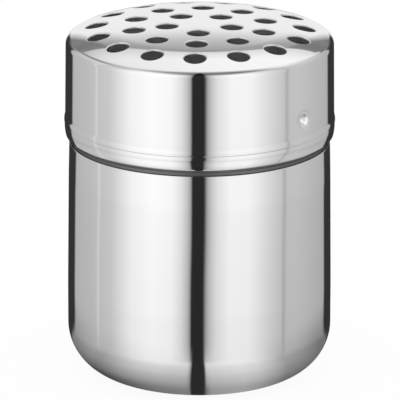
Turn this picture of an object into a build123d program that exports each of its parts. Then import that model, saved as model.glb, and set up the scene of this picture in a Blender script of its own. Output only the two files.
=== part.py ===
"""Spice shaker of polished stainless sheet: canister, rim hoop and perforated bayonet cap.

Millimetres, +Z up. The origin is the centre of the resting face, on the axis that all three
pieces share. -Y is the side where one hole of every ring on the crown lies.

Each piece is drawn as the outer skin of its sheet in the (radius, height) plane, thickened inwards
by the gauge of the sheet and revolved. Slots, pips and holes are then made in the revolved shell.
"""
from build123d import *
from math import asin, cos, degrees, radians, sin
import os

# ---- sheet
SHEET = 0.5  # gauge of the canister and of the cap
HOOP_SHEET = 0.45  # gauge of the rim hoop

# ---- canister
BODY_RADIUS = 34.4  # outside of the wall
SHOULDER_HEIGHT = 62.6  # resting face to the shoulder
DRAW_IN = 0.25  # how far the wall draws in below the shoulder
DRAW_IN_LENGTH = 5.1  # height over which it draws in
DRAW_IN_BLEND = 90.0  # radius that softens the start of that draw
SHOULDER_CORNER = 0.6
SHOULDER_FLAT = 0.03  # level part of the shoulder, between its corner and the neck's root
NECK_ROOT = 0.12  # inside corner between shoulder and neck
NECK_LENGTH = 19.9  # shoulder to the mouth, the top edge of the neck
FOOT_CORNER = 13.0  # large drawn radius between wall and base
STANDING_RING = 4.4  # width of the flat ring that the canister stands on
BASE_SLOPE = 2.5  # width of the slope inside that ring
BASE_RECESS = 0.8  # how far the middle of the base is pushed up
BASE_BLEND = 1.5  # radius at both edges of the slope

# ---- cap
CROWN_HEADROOM = 11.5  # mouth of the canister to the top of the crown
CROWN_RADIUS = 264.0  # shallow middle of the crown
CROWN_EDGE_RADIUS = 42.0  # rounder outer part of the crown
CROWN_EDGE_SLOPE = 21.0  # degrees below level where the crown meets the corner
CAP_CORNER = 2.1  # corner between crown and skirt
SKIRT_DRAFT = 0.2  # how much narrower the skirt is at its top
FLARE = 0.25  # how far the skirt swells out above the hoop
FLARE_HEIGHT = 1.2  # height over which it swells
FLARE_LIP = 0.3  # straight band below the swell
FLARE_OVERHANG = 0.05  # how far that band stands proud of the hoop
TAIL_LENGTH = 3.2  # part of the skirt that stands inside the hoop
TAIL_NECK_CLEARANCE = 0.4  # running clearance between the tail and the neck
SNAP_BEAD = 0.25  # bead round the tail that keeps the hoop on
SNAP_BEAD_DROP = 1.9  # below the top of the tail

# ---- rim hoop
HOOP_GAP = 0.9  # open groove between the shoulder and the hoop
HOOP_HEIGHT = 4.65
HOOP_CURL = 1.0  # outside radius of the inward curl
HOOP_SIDE_RADIUS = 12.4  # bulge of the side above the curl
HOOP_CURL_SLOPE = 17.0  # degrees from upright where side and curl meet
HOOP_LIP_HEIGHT = 0.55  # top lip that is crimped in over the snap bead
HOOP_NECK_CLEARANCE = 0.15  # sliding clearance between the curl and the neck
HOOP_TAIL_CLEARANCE = 0.1  # running clearance between the lip and the tail
HOOP_BEAD_CLEARANCE = 0.2  # clearance between the widest part of the hoop and the snap bead
SEAM = 0.25  # height of the fine seam between hoop and skirt

# ---- bayonet
PIP_COUNT = 2
PIP_DEPTH = 9.0  # mouth of the canister down to the middle of a pip
PIP_ANGLE = -37.1  # degrees about +Z from +X
PIP_REACH = 0.2  # how far a pip stands out inside the neck
PIP_ROLL = 0.4  # soft edge where the skirt rolls into the pip
SLOT_CLEARANCE = 0.3  # all round a pip
LOCK_TURN = 20.0  # degrees, clockwise seen from above

# ---- shaker holes
HOLE_RADIUS = 2.85
HOLE_MARGIN = 7.9  # outside of the skirt to the outer ring of holes
HOLE_COUNTS = (5, 10, 15)  # holes in each ring, from the inner ring out
RING_SHARES = (0.325, 0.651, 1.0)  # radius of each ring as a share of the outer ring's
HOLE_START = -90.0  # degrees: the hole of each ring that faces -Y

# ---- worked out: heights
RIM_HEIGHT = SHOULDER_HEIGHT + NECK_LENGTH
TOTAL_HEIGHT = RIM_HEIGHT + CROWN_HEADROOM
PIP_HEIGHT = RIM_HEIGHT - PIP_DEPTH
HOOP_BOTTOM = SHOULDER_HEIGHT + HOOP_GAP
HOOP_TOP = HOOP_BOTTOM + HOOP_HEIGHT
SKIRT_STEP = HOOP_TOP + SEAM  # underside of the step where the skirt goes in behind the hoop
FLARE_TOP = SKIRT_STEP + FLARE_LIP + FLARE_HEIGHT

# ---- worked out: radii, from the canister outwards
SHOULDER_RADIUS = BODY_RADIUS - DRAW_IN
NECK_RADIUS = SHOULDER_RADIUS - SHOULDER_CORNER - SHOULDER_FLAT - NECK_ROOT
TAIL_INNER = NECK_RADIUS + TAIL_NECK_CLEARANCE
TAIL_OUTER = TAIL_INNER + SHEET
HOOP_RADIUS = TAIL_OUTER + SNAP_BEAD + HOOP_BEAD_CLEARANCE + HOOP_SHEET
CAP_RADIUS = HOOP_RADIUS + FLARE_OVERHANG - FLARE
PIP_RADIUS = CAP_RADIUS - (NECK_RADIUS - SHEET - PIP_REACH)  # outside of the pip's round end
OUTER_RING = CAP_RADIUS - HOLE_MARGIN
RING_INNER = BODY_RADIUS - FOOT_CORNER - STANDING_RING  # inner edge of the standing ring


def revolved(section):
    """The solid that a face in the (radius, height) plane sweeps round the axis."""
    return revolve(Plane.XZ * section, Axis.Z)


def sheet_section(skin, gauge):
    """The face between an outer skin, run upwards from the axis, and its copy inwards."""
    return make_face(offset(Wire(skin), amount=gauge, side=Side.LEFT, closed=True))


def round_the_axis(count, start):
    """Turns about +Z that spread count copies evenly from the angle start."""
    return [Rotation(0, 0, start + 360.0 * i / count) for i in range(count)]


def slot_cutter(half_width):
    """One bayonet slot as solid: entry from the mouth, and arm that runs clockwise from it."""
    depth = CAP_RADIUS - NECK_RADIUS + 2 * SHEET
    inner = NECK_RADIUS - 2 * SHEET
    drill = Pos(inner, 0, PIP_HEIGHT) * Rotation(0, 90, 0)
    end = drill * Cylinder(half_width, depth, align=(Align.CENTER, Align.CENTER, Align.MIN))
    over_rim = RIM_HEIGHT - PIP_HEIGHT + 2 * SHEET
    entry = Pos(inner, 0, PIP_HEIGHT) * Box(
        depth, 2 * half_width, over_rim, align=(Align.MIN, Align.CENTER, Align.MIN)
    )
    band = Pos(inner, PIP_HEIGHT - half_width) * Rectangle(depth, 2 * half_width, align=Align.MIN)
    arm = revolve(Plane.XZ * band, Axis.Z, -LOCK_TURN)
    return end + entry + arm + Rotation(0, 0, -LOCK_TURN) * end


def make_canister():
    """Deep-drawn canister: pushed-up base, large foot radius, shoulder and slotted neck."""
    skin = FilletPolyline(
        (0, BASE_RECESS),
        (RING_INNER - BASE_SLOPE, BASE_RECESS),
        (RING_INNER, 0),
        (BODY_RADIUS, 0),
        (BODY_RADIUS, SHOULDER_HEIGHT - DRAW_IN_LENGTH),
        (SHOULDER_RADIUS, SHOULDER_HEIGHT),
        (NECK_RADIUS, SHOULDER_HEIGHT),
        (NECK_RADIUS, RIM_HEIGHT),
        radius=[BASE_BLEND, BASE_BLEND, FOOT_CORNER, DRAW_IN_BLEND, SHOULDER_CORNER, NECK_ROOT],
    )
    can = revolved(sheet_section(skin.edges(), SHEET))
    pip_at_neck = (PIP_RADIUS**2 - (CAP_RADIUS - NECK_RADIUS) ** 2) ** 0.5
    for turn in round_the_axis(PIP_COUNT, PIP_ANGLE):
        can -= turn * slot_cutter(pip_at_neck + SLOT_CLEARANCE)
    return can


def make_rim_hoop():
    """Hoop that binds the lower edge of the skirt: bulging side, inward curl, crimped top lip."""
    slope = radians(HOOP_CURL_SLOPE)
    curl_centre = HOOP_RADIUS - (HOOP_SIDE_RADIUS - HOOP_CURL) * (1 - cos(slope)) - HOOP_CURL
    side_start = HOOP_BOTTOM + HOOP_CURL * (1 - sin(slope))
    side_centre = side_start + HOOP_SIDE_RADIUS * sin(slope)
    over_top = degrees(asin((HOOP_TOP - side_centre) / HOOP_SIDE_RADIUS))
    foot = Line((NECK_RADIUS + HOOP_NECK_CLEARANCE, HOOP_BOTTOM), (curl_centre, HOOP_BOTTOM))
    curl = JernArc(foot @ 1, (1, 0), HOOP_CURL, 90 - HOOP_CURL_SLOPE)
    side = JernArc(curl @ 1, curl % 1, HOOP_SIDE_RADIUS, HOOP_CURL_SLOPE + over_top)
    lip_inner = TAIL_OUTER + HOOP_TAIL_CLEARANCE
    lip = Pos(lip_inner, HOOP_TOP - HOOP_LIP_HEIGHT) * Rectangle(
        HOOP_RADIUS - HOOP_SHEET / 2 - lip_inner, HOOP_LIP_HEIGHT, align=Align.MIN
    )
    below_top = Pos(0, HOOP_TOP) * Rectangle(
        2 * HOOP_RADIUS, HOOP_TOP, align=(Align.MIN, Align.MAX)
    )
    section = sheet_section([foot, curl, side], HOOP_SHEET) + lip
    return revolved(section & below_top)


def cap_shell():
    """Crown and plain skirt as one drawn shell, open below.

    The radii of the three arcs are given, so where they meet follows from running tangent to each
    other: from level on the axis to CROWN_EDGE_SLOPE, then over the corner to the drafted skirt.
    """
    slope = radians(CROWN_EDGE_SLOPE)
    corner_in = CAP_RADIUS - SKIRT_DRAFT - CAP_CORNER * (1 - sin(slope))
    edge_reach = CROWN_EDGE_RADIUS * sin(slope)
    inner_slope = asin((corner_in - edge_reach) / (CROWN_RADIUS - CROWN_EDGE_RADIUS))
    middle = JernArc((0, TOTAL_HEIGHT), (1, 0), CROWN_RADIUS, -degrees(inner_slope))
    edge = JernArc(
        middle @ 1, middle % 1, CROWN_EDGE_RADIUS, degrees(inner_slope) - CROWN_EDGE_SLOPE
    )
    corner = JernArc(edge @ 1, edge % 1, CAP_CORNER, CROWN_EDGE_SLOPE - 90)
    rest = Polyline(corner @ 1, (CAP_RADIUS, FLARE_TOP), (0, FLARE_TOP), (0, TOTAL_HEIGHT))
    solid = revolved(make_face(Wire([middle, edge, corner] + rest.edges())))
    return offset(solid, amount=-SHEET, openings=solid.faces().sort_by(Axis.Z)[0])


def skirt_foot():
    """Section below the plain skirt: swell, step inwards and tail with its snap bead."""
    swell_side = (FLARE_HEIGHT**2 + FLARE**2) / (4 * FLARE)
    half_turn = degrees(asin(FLARE_HEIGHT / 2 / swell_side))
    upper = JernArc((CAP_RADIUS, FLARE_TOP), (0, -1), swell_side, half_turn)
    lower = JernArc(upper @ 1, upper % 1, swell_side, -half_turn)
    tail_end = SKIRT_STEP - TAIL_LENGTH
    skirt_inner = CAP_RADIUS - SHEET
    rest = Polyline(
        lower @ 1,
        (CAP_RADIUS + FLARE, SKIRT_STEP),
        (TAIL_OUTER, SKIRT_STEP),
        (TAIL_OUTER, tail_end),
        (TAIL_INNER, tail_end),
        (TAIL_INNER, FLARE_TOP - (skirt_inner - TAIL_INNER)),
        (skirt_inner, FLARE_TOP),
        (CAP_RADIUS, FLARE_TOP),
    )
    foot = make_face(Wire([upper, lower] + rest.edges()))
    bead = Pos(TAIL_OUTER, SKIRT_STEP - SNAP_BEAD_DROP) * Circle(SNAP_BEAD)
    return foot + bead


def is_pip_edge(edge):
    """Whether an edge is the line where a pip leaves the inside or the outside of the skirt."""
    box = edge.bounding_box()
    reach = PIP_RADIUS + SHEET
    return box.min.Z > PIP_HEIGHT - reach and box.max.Z < PIP_HEIGHT + reach


def make_shaker_cap():
    """Perforated cap: domed crown, drafted skirt, swell and tail, holes and pressed-in pips."""
    cap = cap_shell() + revolved(skirt_foot())
    hole = Pos(0, 0, PIP_HEIGHT) * Cylinder(
        HOLE_RADIUS, TOTAL_HEIGHT, align=(Align.CENTER, Align.CENTER, Align.MIN)
    )
    cap -= [
        turn * Pos(share * OUTER_RING, 0, 0) * hole
        for count, share in zip(HOLE_COUNTS, RING_SHARES)
        for turn in round_the_axis(count, HOLE_START)
    ]
    within_skirt = Cylinder(
        CAP_RADIUS - SHEET / 2, TOTAL_HEIGHT, align=(Align.CENTER, Align.CENTER, Align.MIN)
    )
    pip = Pos(CAP_RADIUS, 0, PIP_HEIGHT) * Sphere(PIP_RADIUS) & within_skirt
    dimple = Pos(CAP_RADIUS, 0, PIP_HEIGHT) * Sphere(PIP_RADIUS - SHEET)
    for turn in round_the_axis(PIP_COUNT, PIP_ANGLE):
        cap = cap + turn * pip - turn * dimple
    return fillet(cap.edges().filter_by(is_pip_edge), PIP_ROLL)


def main():
    """Build each piece and write its STEP file."""
    os.makedirs("parts", exist_ok=True)
    pieces = {
        "canister": make_canister(),
        "rim_hoop": make_rim_hoop(),
        "shaker_cap": make_shaker_cap(),
    }
    for name, piece in pieces.items():
        export_step(piece, f"parts/{name}.step")


main()
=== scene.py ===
"""Polished steel spice shaker, dressed over its CAD frame and lit as in a small product studio.

Shapes are worked out in millimetres and brought to the frame's metres when a mesh is made. +Z is
up and all three pieces share the Z axis. What shows from outside is measured from the boxes of the
CAD nodes. What they can't tell, such as gauges and small radii, is named in each piece's class.

A section is a line in the (radius, height) plane. It is walked so that the open air lies to its
right: up the outside of a piece, then down its inside.
"""
import logging
import math
from dataclasses import dataclass, field
from enum import Enum

import bpy
import numpy as np
from mathutils import Matrix, Vector
from mathutils.geometry import delaunay_2d_cdt

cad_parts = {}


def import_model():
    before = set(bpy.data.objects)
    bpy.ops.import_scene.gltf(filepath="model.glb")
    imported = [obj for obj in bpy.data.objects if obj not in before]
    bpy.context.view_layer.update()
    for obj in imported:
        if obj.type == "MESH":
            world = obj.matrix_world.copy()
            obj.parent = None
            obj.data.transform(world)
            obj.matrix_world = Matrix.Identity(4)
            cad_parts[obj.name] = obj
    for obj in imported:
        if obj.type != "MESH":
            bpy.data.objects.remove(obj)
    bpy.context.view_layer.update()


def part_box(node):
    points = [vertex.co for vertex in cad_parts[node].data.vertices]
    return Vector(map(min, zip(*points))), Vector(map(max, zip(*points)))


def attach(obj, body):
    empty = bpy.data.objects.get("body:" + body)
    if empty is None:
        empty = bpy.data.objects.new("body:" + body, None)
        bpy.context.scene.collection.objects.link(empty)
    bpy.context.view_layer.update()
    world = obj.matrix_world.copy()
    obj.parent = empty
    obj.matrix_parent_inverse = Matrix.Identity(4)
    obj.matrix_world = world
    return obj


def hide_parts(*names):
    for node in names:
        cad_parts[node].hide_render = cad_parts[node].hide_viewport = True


LOG = logging.getLogger("spice_shaker")

MM = 0.001  # metres in a millimetre
FULL_TURN = 2 * math.pi
UP = np.array([0.0, 0.0, 1.0])
CAMERA_AZIMUTH = math.radians(2.613)  # from -Y towards +X
TURN_STEPS = 288  # facets round the axis
RING_STEPS = 48  # facets round a shaker hole or a pip
DISC_STEPS = 96  # sides of the floor and the tabletop
EDGE_ROWS = 5  # rows over a quarter round of the neck's edge
ROLL_ROWS = 9  # rows over the roll of a shaker hole
HOLLOW_ROWS = 34  # rows across the hollow of a pip
BALL_ROWS = 20  # rows over the round end of a pip
FILLET_ROWS = 12  # rows over the roll from a pip into the skirt
SHY = 0.98  # an arc between two others takes this part of the radius that would touch them
SAG = 0.002  # mm that a facet may stand off the arc it follows
ARC_STEP = math.radians(15.0)  # longest step along an arc, however small
MERGE_GRID = 1e-6  # mm: corners of neighbouring patches closer than this are one corner

Array = np.ndarray
Point = tuple[float, float]


class Skin(Enum):
    """Which of a piece's finishes a patch wears. The value is its material index."""

    POLISHED = 0  # what shows of the outside
    DRAWN = 1  # inside
    CUT = 2  # punched edges
    GROOVE = 3  # foot of the neck and underside of the hoop: unpolished, and its dark tone is painted shade of the groove


# ---------------------------------------------------------------- sections


@dataclass(frozen=True)
class Run:
    """A smooth line in a plane, with the unit normal to the right of the way it is walked."""

    points: Array
    normals: Array

    def finer(self, step: float) -> "Run":
        """Cuts long straight stretches so that no step is longer than the one given.

        Args:
            step: longest distance allowed between two points.

        Returns:
            The same line with points added evenly between neighbours.
        """
        lengths = np.hypot(*np.diff(self.points, axis=0).T)
        counts = np.maximum(1, np.ceil(lengths / step)).astype(int)
        first = np.repeat(np.arange(len(counts)), counts)
        before = np.repeat(np.cumsum(counts) - counts, counts)
        share = (np.arange(len(first)) - before) / np.repeat(counts, counts)
        places = np.append(first + share, len(lengths))
        known = np.arange(len(self.points))
        points = np.stack([np.interp(places, known, c) for c in self.points.T], axis=1)
        normals = np.stack([np.interp(places, known, c) for c in self.normals.T], axis=1)
        return Run(points, normals)


def heading(angle: float | Array) -> Array:
    """The unit vector at each angle, in radians, from the first axis of the plane."""
    return np.stack([np.cos(angle), np.sin(angle)], axis=-1)


def circle(steps: int) -> Array:
    """Angles spread evenly over a full turn, without the one that comes back to the first."""
    return np.arange(steps) * FULL_TURN / steps


def radians(ends: Point) -> Point:
    """Both ends of a range of degrees, in radians."""
    return (math.radians(ends[0]), math.radians(ends[1]))


def meeting(start: Point, start_angle: float, end: Point, end_angle: float) -> Point:
    """The point where two lines cross.

    Args:
        start: a point on the first line.
        start_angle: the way that line heads, in radians.
        end: a point on the second line.
        end_angle: the way that one heads.

    Returns:
        The crossing.
    """
    ways = np.stack([heading(start_angle), -heading(end_angle)], axis=1)
    reach = np.linalg.solve(ways, np.subtract(end, start))[0]
    return tuple(np.array(start) + reach * heading(start_angle))


def rounded(corners: list[Point], radii: list[float]) -> Run:
    """A polyline whose inner corners are replaced by arcs that touch both neighbours.

    An arc of radius r that turns by an angle t starts r tan(t / 2) before its corner. Its points
    are its centre less r times the left-hand vector of the way it heads. A facet of angle f stands
    off the arc by r f f / 8, which gives the number of facets.

    Args:
        corners: the corners of the line, with its two ends.
        radii: one radius for each corner between the ends.

    Returns:
        The rounded line.
    """
    path = np.array(corners, float)
    ways = np.diff(path, axis=0)
    angles = np.unwrap(np.arctan2(ways[:, 1], ways[:, 0]))
    places, turns = [path[0]], [angles[0]]
    for corner, radius, before, after in zip(path[1:-1], radii, angles[:-1], angles[1:]):
        turn = after - before
        side = math.copysign(radius, turn)
        start = corner - heading(before) * radius * math.tan(abs(turn) / 2)
        centre = start + side * heading(before + math.pi / 2)
        facet = min(ARC_STEP, math.sqrt(8 * SAG / max(radius, SAG)))
        steps = np.linspace(before, after, 2 + int(abs(turn) / facet))
        places.extend(centre - side * np.stack([-np.sin(steps), np.cos(steps)], axis=1))
        turns.extend(steps)
    places.append(path[-1])
    turns.append(angles[-1])
    points = np.array(places)
    normals = np.stack([np.sin(turns), -np.cos(turns)], axis=1)
    apart = np.hypot(*np.diff(points, axis=0).T) > 10 * MERGE_GRID
    fresh = np.append(True, apart)
    return Run(points[fresh], normals[fresh])


# ---------------------------------------------------------------- patches of surface


@dataclass(frozen=True)
class Patch:
    """A piece of surface: points, their outward normals, triangles between them and a skin."""

    points: Array
    normals: Array
    triangles: Array
    skin: Skin


def unit(vectors: Array) -> Array:
    """Each vector divided by its own length."""
    return vectors / np.linalg.norm(vectors, axis=-1, keepdims=True)


def round_axis(turn: Array) -> tuple[Array, Array]:
    """The ways straight out and round, as unit vectors, at each turn about the axis."""
    out = np.stack([np.cos(turn), np.sin(turn), np.zeros_like(turn)], axis=-1)
    return out, np.cross(UP, out)


def grid_patch(points: Array, normals: Array, skin: Skin) -> Patch:
    """The surface over a grid of rows and columns, each square of it cut into two triangles.

    Args:
        points: array of (rows, columns, 3).
        normals: outward normals in the same layout.
        skin: the finish it wears.

    Returns:
        The patch. Its triangles are turned the right way round when the mesh is made.
    """
    rows, columns = points.shape[:2]
    index = np.arange(rows * columns).reshape(rows, columns)
    a, b, c, d = index[:-1, :-1], index[:-1, 1:], index[1:, 1:], index[1:, :-1]
    triangles = np.concatenate([np.stack([a, b, c], -1), np.stack([a, c, d], -1)])
    return Patch(points.reshape(-1, 3), normals.reshape(-1, 3), triangles.reshape(-1, 3), skin)


def turned(run: Run, skin: Skin) -> Patch:
    """The surface that a section sweeps round the axis.

    A point at radius r and turn t is (r cos t, r sin t, height), and its normal turns with it.

    Args:
        run: the section.
        skin: the finish it wears.

    Returns:
        The patch, whose last column closes on its first.
    """
    turns = np.linspace(0, FULL_TURN, TURN_STEPS + 1)

    def swept(pairs: Array) -> Array:
        """Pairs of (radius, height) carried round the axis."""
        out, up = pairs[:, :1], pairs[:, 1:]
        return np.stack([out * np.cos(turns), out * np.sin(turns), up + 0 * turns], axis=-1)

    return grid_patch(swept(run.points), swept(run.normals), skin)


def inside(points: Array, loops: list[Array]) -> Array:
    """Whether each point lies between closed loops, by the even-odd rule.

    A ray from the point towards +x crosses an edge from a to b where the heights of a and b lie on
    both sides of it and the edge passes to its right.

    Args:
        points: the points, in the plane.
        loops: corners of each loop.

    Returns:
        True for each point that lies inside an odd number of loops.
    """
    crossings = np.zeros(len(points), int)
    x, y = points[:, :1], points[:, 1:]
    for loop in loops:
        a, b = loop, np.roll(loop, -1, axis=0)
        rise = np.where(a[:, 1] == b[:, 1], 1.0, b[:, 1] - a[:, 1])
        at = a[:, 0] + (y - a[:, 1]) * (b[:, 0] - a[:, 0]) / rise
        crossings += (((a[:, 1] > y) != (b[:, 1] > y)) & (x < at)).sum(axis=1)
    return crossings % 2 == 1


def filled(loops: list[Array], loose: Array, margin: float) -> tuple[Array, Array]:
    """Triangles that fill the area between closed loops, over loose points inside it.

    Args:
        loops: corners of each loop, in the plane.
        loose: points that make the triangles small enough for a curved surface.
        margin: loose points nearer than this to a corner of a loop are left out.

    Returns:
        The points, the loops' own first and in order, and the triangles between them.
    """
    rim = np.concatenate(loops)
    loose = loose[inside(loose, loops)]
    nearest = np.full(len(loose), np.inf)
    for loop in loops:
        gap = np.linalg.norm(loose[:, None] - loop[None], axis=2).min(axis=1)
        nearest = np.minimum(nearest, gap)
    points = np.concatenate([rim, loose[nearest > margin]])
    starts = np.cumsum([0] + [len(loop) for loop in loops])
    edges = [np.stack([np.arange(len(p)), np.roll(np.arange(len(p)), -1)], 1) for p in loops]
    edges = np.concatenate([edge + start for edge, start in zip(edges, starts)])
    found = delaunay_2d_cdt(points.tolist(), edges.tolist(), [], 0, MERGE_GRID, True)
    faces, origins = found[2], found[3]
    triangles = np.array([group[0] for group in origins])[np.array(faces)]
    return points, triangles[inside(points[triangles].mean(axis=1), loops)]


def piece_mesh(name: str, patches: list[Patch]) -> bpy.types.Mesh:
    """One closed mesh out of the patches of a piece, in metres.

    Corners that meet become one vertex, triangles without an area go, and every other triangle is
    turned to face the way its corners' normals point. The corners keep those normals.

    Args:
        name: name of the mesh.
        patches: the surface, whole.

    Returns:
        The mesh, with each patch's skin as its material index.
    """
    sizes = [len(patch.points) for patch in patches]
    starts = np.cumsum([0] + sizes[:-1])
    points = np.concatenate([patch.points for patch in patches])
    normals = unit(np.concatenate([patch.normals for patch in patches]))
    corners = np.concatenate([patch.triangles + start for patch, start in zip(patches, starts)])
    skins = np.concatenate([np.full(len(p.triangles), p.skin.value) for p in patches])

    # A fraction of a cell is added, so that round values don't lie on the border of two cells.
    grid = np.floor(points / MERGE_GRID + math.pi / 10).astype(np.int64)
    first, merged = np.unique(grid, axis=0, return_index=True, return_inverse=True)[1:]
    merged = merged.reshape(-1)
    whole = merged[corners]
    a, b, c = whole.T
    solid = (a != b) & (b != c) & (c != a)
    corners, skins = corners[solid], skins[solid]
    tips = points[corners]
    facing = np.cross(tips[:, 1] - tips[:, 0], tips[:, 2] - tips[:, 0])
    inward = (facing * normals[corners].sum(axis=1)).sum(axis=1) < 0
    corners[inward] = corners[inward][:, ::-1]

    mesh = bpy.data.meshes.new(name)
    mesh.vertices.add(len(first))
    mesh.vertices.foreach_set("co", (points[first] * MM).ravel())
    mesh.loops.add(corners.size)
    mesh.loops.foreach_set("vertex_index", merged[corners].ravel().astype(np.int32))
    mesh.polygons.add(len(corners))
    mesh.polygons.foreach_set("loop_start", np.arange(0, corners.size, 3, dtype=np.int32))
    mesh.polygons.foreach_set("material_index", skins.astype(np.int32))
    mesh.polygons.foreach_set("use_smooth", np.ones(len(corners), bool))
    mesh.update(calc_edges=True)
    mesh.normals_split_custom_set(normals[corners].reshape(-1, 3).tolist())
    return mesh


# ---------------------------------------------------------------- finishes


class Bench:
    """Adds nodes to a node tree and joins them up."""

    def __init__(self, tree: bpy.types.NodeTree) -> None:
        """Starts on an empty tree."""
        self.tree = tree
        tree.nodes.clear()

    def add(self, kind: str, inputs: dict | None = None, **settings: object) -> bpy.types.Node:
        """Adds a node.

        Args:
            kind: the node's type.
            inputs: values or sockets by the name or place of the input.
            settings: the node's own properties.

        Returns:
            The new node.
        """
        node = self.tree.nodes.new(kind)
        for key, value in settings.items():
            setattr(node, key, value)
        for key, value in (inputs or {}).items():
            if isinstance(value, bpy.types.NodeSocket):
                self.tree.links.new(value, node.inputs[key])
            else:
                node.inputs[key].default_value = value
        return node

    def math(self, operation: str, *values: object) -> bpy.types.NodeSocket:
        """The result of one Math node."""
        return self.add("ShaderNodeMath", dict(enumerate(values)), operation=operation).outputs[0]

    def mix(self, low: object, high: object, share: object) -> bpy.types.NodeSocket:
        """A value that goes from low to high as the share goes from 0 to 1."""
        return self.math("MULTIPLY_ADD", share, self.math("SUBTRACT", high, low), low)

    def turned_back(self, way: bpy.types.NodeSocket, angle: float) -> list[bpy.types.NodeSocket]:
        """Sees a vector in axes that are turned about +Z.

        Args:
            way: the vector.
            angle: how far the axes are turned, in radians.

        Returns:
            Its x and y in those axes, and its azimuth from -y towards x.
        """
        axes = self.add("ShaderNodeSeparateXYZ", {0: way}).outputs
        cos, sin = math.cos(angle), math.sin(angle)
        across = self.math("MULTIPLY_ADD", axes[0], cos, self.math("MULTIPLY", axes[1], sin))
        away = self.math("MULTIPLY_ADD", axes[1], cos, self.math("MULTIPLY", axes[0], -sin))
        azimuth = self.math("ARCTAN2", across, self.math("MULTIPLY", away, -1.0))
        return [across, away, azimuth]

    def length(self, parts: list[bpy.types.NodeSocket]) -> bpy.types.NodeSocket:
        """The root of the sum of the squares of some values.

        Args:
            parts: the values.

        Returns:
            The root.
        """
        total = 0.0
        for part in parts:
            total = self.math("MULTIPLY_ADD", part, part, total)
        return self.math("SQRT", total)

    def scaled(
        self, value: bpy.types.NodeSocket, source: Point, target: Point, ease: bool = False
    ) -> bpy.types.NodeSocket:
        """Carries a value from one range to another and holds it at the ends.

        Args:
            value: the value.
            source: range it comes in.
            target: range it goes to.
            ease: whether it leaves both ends softly.

        Returns:
            The carried value.
        """
        inputs = {"Value": value, "From Min": source[0], "From Max": source[1]}
        inputs |= {"To Min": target[0], "To Max": target[1]}
        kind = "SMOOTHSTEP" if ease else "LINEAR"
        return self.add("ShaderNodeMapRange", inputs, interpolation_type=kind).outputs[0]

    def ramp(self, value: bpy.types.NodeSocket, stops: list[Point]) -> bpy.types.NodeSocket:
        """Looks a value up in a list of stops.

        Args:
            value: the value, 0 to 1.
            stops: (place, brightness) pairs in order.

        Returns:
            The brightness between the two nearest stops.
        """
        node = self.add("ShaderNodeValToRGB", {"Fac": value})
        elements = node.color_ramp.elements
        elements.remove(elements[1])
        for i, (place, level) in enumerate(stops):
            stop = elements[0] if i == 0 else elements.new(place)
            stop.position = place
            stop.color = (level, level, level, 1)
        return node.outputs["Color"]


@dataclass(frozen=True)
class Steel:
    """A finish of stainless steel with fine lines left by a tool that ran round the axis."""

    name: str
    tone: float  # reflectance, the same in all colours
    roughness: tuple[float, float]  # between the smoothest and the dullest line
    line_pitch: float  # mm between lines
    line_depth: float  # mm
    wander: float = 0.06  # how much the lines swell and fade on their way round
    noise_span: Point = (0.3, 0.7)  # where nearly all of the noise lies

    def material(self) -> bpy.types.Material:
        """Builds the material.

        The lines are noise over (distance from the axis, height), so that they run round the axis
        on the wall and in circles on the crown. A little of the place itself lets them wander.

        Returns:
            The material.
        """
        steel = bpy.data.materials.new(self.name)
        steel.use_nodes = True
        bench = Bench(steel.node_tree)
        place = bench.add("ShaderNodeTexCoord").outputs["Object"]
        axes = bench.add("ShaderNodeSeparateXYZ", {0: place}).outputs
        out = bench.length(axes[:2])
        flat = bench.add("ShaderNodeCombineXYZ", {0: out, 1: axes[2]}).outputs[0]
        drift = bench.add("ShaderNodeVectorMath", {0: place, 3: self.wander}, operation="SCALE")
        both = bench.add("ShaderNodeVectorMath", {0: flat, 1: drift.outputs[0]}, operation="ADD")
        grain = {"Vector": both.outputs[0], "Scale": 1 / (self.line_pitch * MM), "Detail": 3.0}
        noise = bench.add("ShaderNodeTexNoise", grain).outputs["Fac"]
        dull = bench.scaled(noise, self.noise_span, self.roughness)
        relief = {"Height": noise, "Strength": 1.0, "Distance": self.line_depth * MM}
        bump = bench.add("ShaderNodeBump", relief).outputs[0]
        look = {"Metallic": 1.0, "Roughness": dull, "Normal": bump}
        look["Base Color"] = (self.tone, self.tone, self.tone, 1)
        shader = bench.add("ShaderNodeBsdfPrincipled", look)
        bench.add("ShaderNodeOutputMaterial", {"Surface": shader.outputs[0]})
        return steel


FINISHES = {
    Skin.POLISHED: Steel(
        name="mirror_polish", tone=0.86, roughness=(0.035, 0.05), line_pitch=0.9, line_depth=2e-5
    ),
    Skin.DRAWN: Steel(
        name="drawn_satin", tone=0.88, roughness=(0.45, 0.55), line_pitch=0.25, line_depth=8e-4
    ),
    Skin.CUT: Steel(
        name="tumbled_edge", tone=0.92, roughness=(0.40, 0.50), line_pitch=0.08, line_depth=1e-4
    ),
    # painted shade: tone 0.2, far below the other steels, darkens the groove under the hoop; the
    # roughness is the unpolished metal
    Skin.GROOVE: Steel(
        name="unpolished_groove_painted_shade", tone=0.2, roughness=(0.35, 0.45), line_pitch=0.25, line_depth=8e-4
    ),
}


# ---------------------------------------------------------------- pieces of the shaker


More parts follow.
